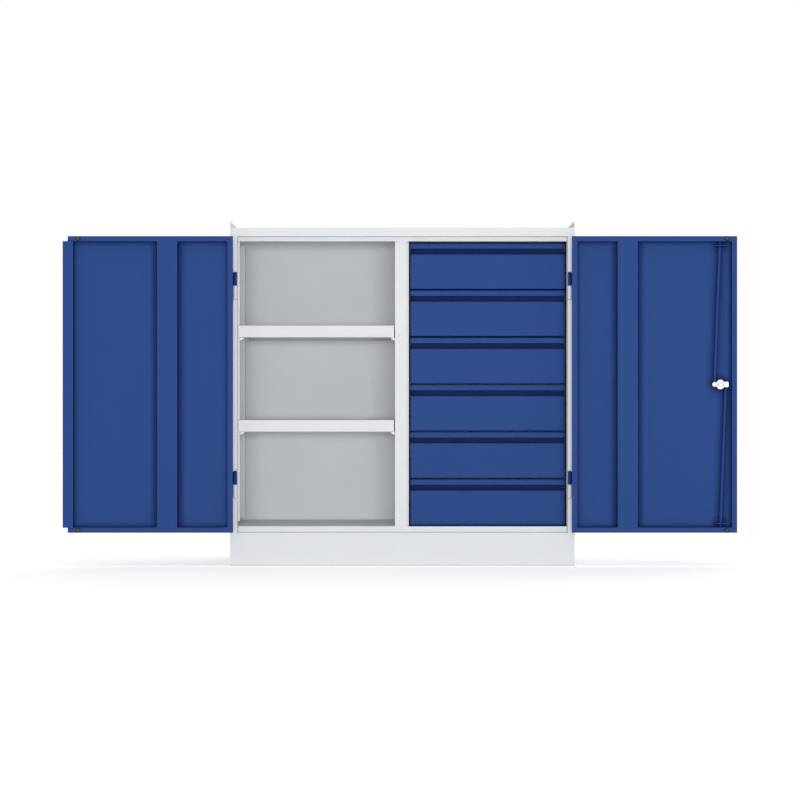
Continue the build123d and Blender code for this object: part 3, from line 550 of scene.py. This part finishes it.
def handle_wing():
    """Moulded wing on a round hub, bored for the lock plug."""
    low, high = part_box("door_handle")
    middle, hub = (low + high) / 2, (high.z - low.z) / 2
    grip_back = high.y - GRIP_HEIGHT
    handle = bmesh.new()
    profile = [(0, 0), (hub - MOULD_EDGE, 0), (hub, MOULD_EDGE)]
    profile += [(hub, grip_back - low.y), (0, grip_back - low.y)]
    turned(handle, profile, (0, 1, 0), (middle.x, low.y, middle.z), segments=40)
    near = Vector((low.x, 0, middle.z - GRIP_WIDTH / 2))
    far = Vector((high.x, 0, middle.z + GRIP_WIDTH / 2))
    levels = [(MOULD_EDGE, grip_back), (0, grip_back + MOULD_EDGE), (0, grip_back + GRIP_FOOT)]
    levels += [(GRIP_DRAFT, high.y - GRIP_EDGE)] + quarter(GRIP_DRAFT, high.y - GRIP_EDGE, GRIP_EDGE)
    plug_low, plug_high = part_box("lock_plug")
    bore = ((plug_high.x - plug_low.x) / 2 + PLUG_GAP, high.y - plug_low.y)
    stacked(handle, near, far, GRIP_CORNER, levels, bore)
    wing = add_piece("handle_wing", handle, "lock_handle", "black_plastic", MOULDED_SMOOTH_ANGLE)
    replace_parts(wing, "door_handle")


def round_rosette():
    """Round rosette on the door's skin, with the bored barrel behind it."""
    low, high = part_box("lock_housing")
    middle, rosette = (low + high) / 2, (high.x - low.x) / 2
    length = high.y - low.y
    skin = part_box("door_right_pan")[1].y - low.y
    profile = [(HOUSING_BORE_RADIUS, 0), (HOUSING_BARREL_RADIUS, 0), (HOUSING_BARREL_RADIUS, skin)]
    profile += [(rosette, skin), (rosette, length - ROSETTE_EDGE)]
    arc = quarter(0, length - ROSETTE_EDGE, ROSETTE_EDGE)
    profile += [(rosette - inset, height) for inset, height in arc]
    profile += [(HOUSING_BORE_RADIUS, length), (HOUSING_BORE_RADIUS, 0)]
    housing = bmesh.new()
    turned(housing, profile, (0, 1, 0), (middle.x, low.y, middle.z), segments=48)
    bmesh.ops.remove_doubles(housing, verts=housing.verts, dist=WELD)
    piece = add_piece("round_rosette", housing, "door_right", "black_plastic", MOULDED_SMOOTH_ANGLE)
    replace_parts(piece, "lock_housing")


def ball_cage(mesh_data, x, start, z):
    """Strip of a cage that runs back from a start along Y, with its row of balls."""
    near = (x - CAGE_WIDTH / 2, start, z - CAGE_SHEET / 2)
    far = (x + CAGE_WIDTH / 2, start + CAGE_LENGTH, z + CAGE_SHEET / 2)
    eased_slab(mesh_data, near, far, CAGE_EDGE, segments=1)
    for ball in range(CAGE_BALLS):
        place = Matrix.Translation((x, start + CAGE_LENGTH * (ball + 0.5) / CAGE_BALLS, z))
        bmesh.ops.create_icosphere(mesh_data, subdivisions=2, radius=BALL_RADIUS, matrix=place)


def slide_channel(steel, cages, low, high, face, side):
    """Rolled channel of one slide, open to one side, with ball rows over and under its flanges."""
    middle, half_height = (low.z + high.z) / 2, (high.z - low.z) / 2 - FLANGE_INSET
    inner, tip = face - side * SLIDE_SHEET, face - side * SLIDE_DEPTH
    near, far = (face, low.y, middle - half_height), (inner, high.y, middle + half_height)
    eased_slab(steel, near, far, SLIDE_EDGE)
    row_x = (face + tip) / 2
    for up in (-1, 1):
        edge = middle + up * half_height
        near, far = (face, low.y, edge), (tip, high.y, edge - up * SLIDE_SHEET)
        eased_slab(steel, near, far, SLIDE_EDGE)
        for row in (edge + up * BALL_ROW, edge - up * (SLIDE_SHEET + BALL_ROW)):
            for start in (low.y + CAGE_INSET, high.y - CAGE_INSET - CAGE_LENGTH):
                ball_cage(cages, row_x, start, row)


def ball_slides():
    """Middle members of the drawer slides: rolled channels with caged ball rows."""
    for number in range(1, DRAWER_COUNT + 1):
        node, body = f"drawer_{number}_intermediates", f"drawer_{number}_slide"
        low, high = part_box(node)
        steel, cages = bmesh.new(), bmesh.new()
        for face, side in ((low.x, -1), (high.x, 1)):
            slide_channel(steel, cages, low, high, face, side)
        channels = add_piece(f"drawer_{number}_slide_channels", steel, body, "zinc_steel")
        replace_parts(channels, node)
        add_piece(f"drawer_{number}_ball_cages", cages, body, "zinc_steel", CAGE_SMOOTH_ANGLE)


def tray_rivets():
    """Low rivet heads inside each tray, over the runner members."""
    profile = [(0, 0), (RIVET_RADIUS, 0)] + dome(RIVET_RADIUS, RIVET_RIM, RIVET_RISE)
    for number in range(1, DRAWER_COUNT + 1):
        tray_low, tray_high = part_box(f"drawer_{number}_tray")
        run_low, run_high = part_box(f"drawer_{number}_runners")
        heads = bmesh.new()
        height = (run_low.z + run_high.z) / 2
        for side, wall in ((1, tray_low.x + TRAY_SHEET), (-1, tray_high.x - TRAY_SHEET)):
            for share in RIVET_PLACES:
                y = run_low.y + (run_high.y - run_low.y) * share
                turned(heads, profile, (side, 0, 0), (wall, y, height), segments=20)
        add_piece(f"drawer_{number}_rivets", heads, f"drawer_{number}", "zinc_steel")


# ---- Stage ----
def seen_rays(tree):
    """1 for rays that show the backdrop itself: camera, mirror and glass rays."""
    path = tree.nodes.new("ShaderNodeLightPath")
    value = path.outputs["Is Camera Ray"]
    for other in ("Is Glossy Ray", "Is Transmission Ray"):
        either = tree.nodes.new("ShaderNodeMath")
        either.operation = "MAXIMUM"
        tree.links.new(value, either.inputs[0])
        tree.links.new(path.outputs[other], either.inputs[1])
        value = either.outputs["Value"]
    return value


def make_world():
    """White all round: plain white where it is seen, and a dimmer light on the object."""
    world = bpy.data.worlds.new("studio")
    bpy.context.scene.world = world
    world.use_nodes = True
    tree = world.node_tree
    tree.nodes.clear()
    output = tree.nodes.new("ShaderNodeOutputWorld")
    mix = tree.nodes.new("ShaderNodeMixShader")
    tree.links.new(seen_rays(tree), mix.inputs["Fac"])
    for socket, strength in ((1, WORLD_LIGHT), (2, 1.0)):
        sky = tree.nodes.new("ShaderNodeBackground")
        sky.inputs["Color"].default_value = (1, 1, 1, 1)
        sky.inputs["Strength"].default_value = strength
        tree.links.new(sky.outputs["Background"], mix.inputs[socket])
    tree.links.new(mix.outputs["Shader"], output.inputs["Surface"])


def floor_material():
    """White paint that also glows a little where it is seen."""
    material = bpy.data.materials.new("studio_floor")
    material.use_nodes = True
    tree = material.node_tree
    tree.nodes.clear()
    output = tree.nodes.new("ShaderNodeOutputMaterial")
    paint = tree.nodes.new("ShaderNodeBsdfDiffuse")
    paint.inputs["Color"].default_value = (*FLOOR_PAINT, 1)
    glow = tree.nodes.new("ShaderNodeEmission")
    glow.inputs["Strength"].default_value = FLOOR_GLOW
    both = tree.nodes.new("ShaderNodeAddShader")
    mix = tree.nodes.new("ShaderNodeMixShader")
    tree.links.new(paint.outputs["BSDF"], both.inputs[0])
    tree.links.new(glow.outputs["Emission"], both.inputs[1])
    tree.links.new(seen_rays(tree), mix.inputs["Fac"])
    tree.links.new(paint.outputs["BSDF"], mix.inputs[1])
    tree.links.new(both.outputs["Shader"], mix.inputs[2])
    tree.links.new(mix.outputs["Shader"], output.inputs["Surface"])
    return material


def make_floor():
    """White floor, so bright that only the object's shadow shows on it."""
    mesh = bpy.data.meshes.new("studio_floor")
    half = FLOOR_SIZE / 2
    corners = [(-half, -half, 0), (half, -half, 0), (half, half, 0), (-half, half, 0)]
    mesh.from_pydata(corners, [], [(0, 1, 2, 3)])
    mesh.materials.append(floor_material())
    floor = bpy.data.objects.new("studio_floor", mesh)
    bpy.context.scene.collection.objects.link(floor)


def make_lamp(name, strength, direction, angle):
    """Soft distant light that shines from the given direction, spread over an angle in degrees."""
    data = bpy.data.lights.new(name, "SUN")
    data.energy = strength * math.pi
    data.angle = math.radians(angle)
    lamp = bpy.data.objects.new(name, data)
    lamp.rotation_mode = "QUATERNION"
    lamp.rotation_quaternion = Vector(direction).to_track_quat("Z", "Y")
    bpy.context.scene.collection.objects.link(lamp)


def make_key_light():
    """Wide soft box behind the camera, about level with the cabinet."""
    data = bpy.data.lights.new("key_light", "AREA")
    data.shape = "RECTANGLE"
    data.size, data.size_y = KEY_SIZE
    data.energy = KEY_LIGHT * (math.pi * Vector(KEY_PLACE).length) ** 2
    lamp = bpy.data.objects.new("key_light", data)
    lamp.location = KEY_PLACE
    lamp.rotation_euler = LEVEL
    bpy.context.scene.collection.objects.link(lamp)


def make_camera():
    """The photograph's viewpoint: level, square on to the front."""
    data = bpy.data.cameras.new("camera")
    data.sensor_width = SENSOR_WIDTH
    focal_pixels = PIXELS_PER_METRE * VIEW_DISTANCE
    data.lens = data.sensor_width * focal_pixels / FRAME_PIXELS
    data.clip_end = FLOOR_SIZE * 2
    camera = bpy.data.objects.new("camera", data)
    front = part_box("side_wall_left")[0].y
    height = (FLOOR_ROW - HORIZON_ROW) / PIXELS_PER_METRE
    camera.location = (VIEW_X, front - VIEW_DISTANCE, height)
    camera.rotation_euler = LEVEL
    bpy.context.scene.collection.objects.link(camera)
    bpy.context.scene.camera = camera


finish_cad_nodes()
hinge_barrels()
buffers()
rod_caps()
handle_wing()
round_rosette()
ball_slides()
tray_rivets()
make_world()
make_floor()
make_key_light()
make_lamp("top_light", TOP_LIGHT, TOP_DIRECTION, TOP_SPREAD)
make_lamp("rear_light", REAR_LIGHT, REAR_DIRECTION, REAR_SPREAD)
make_camera()
bpy.context.scene.view_settings.view_transform = "Standard"
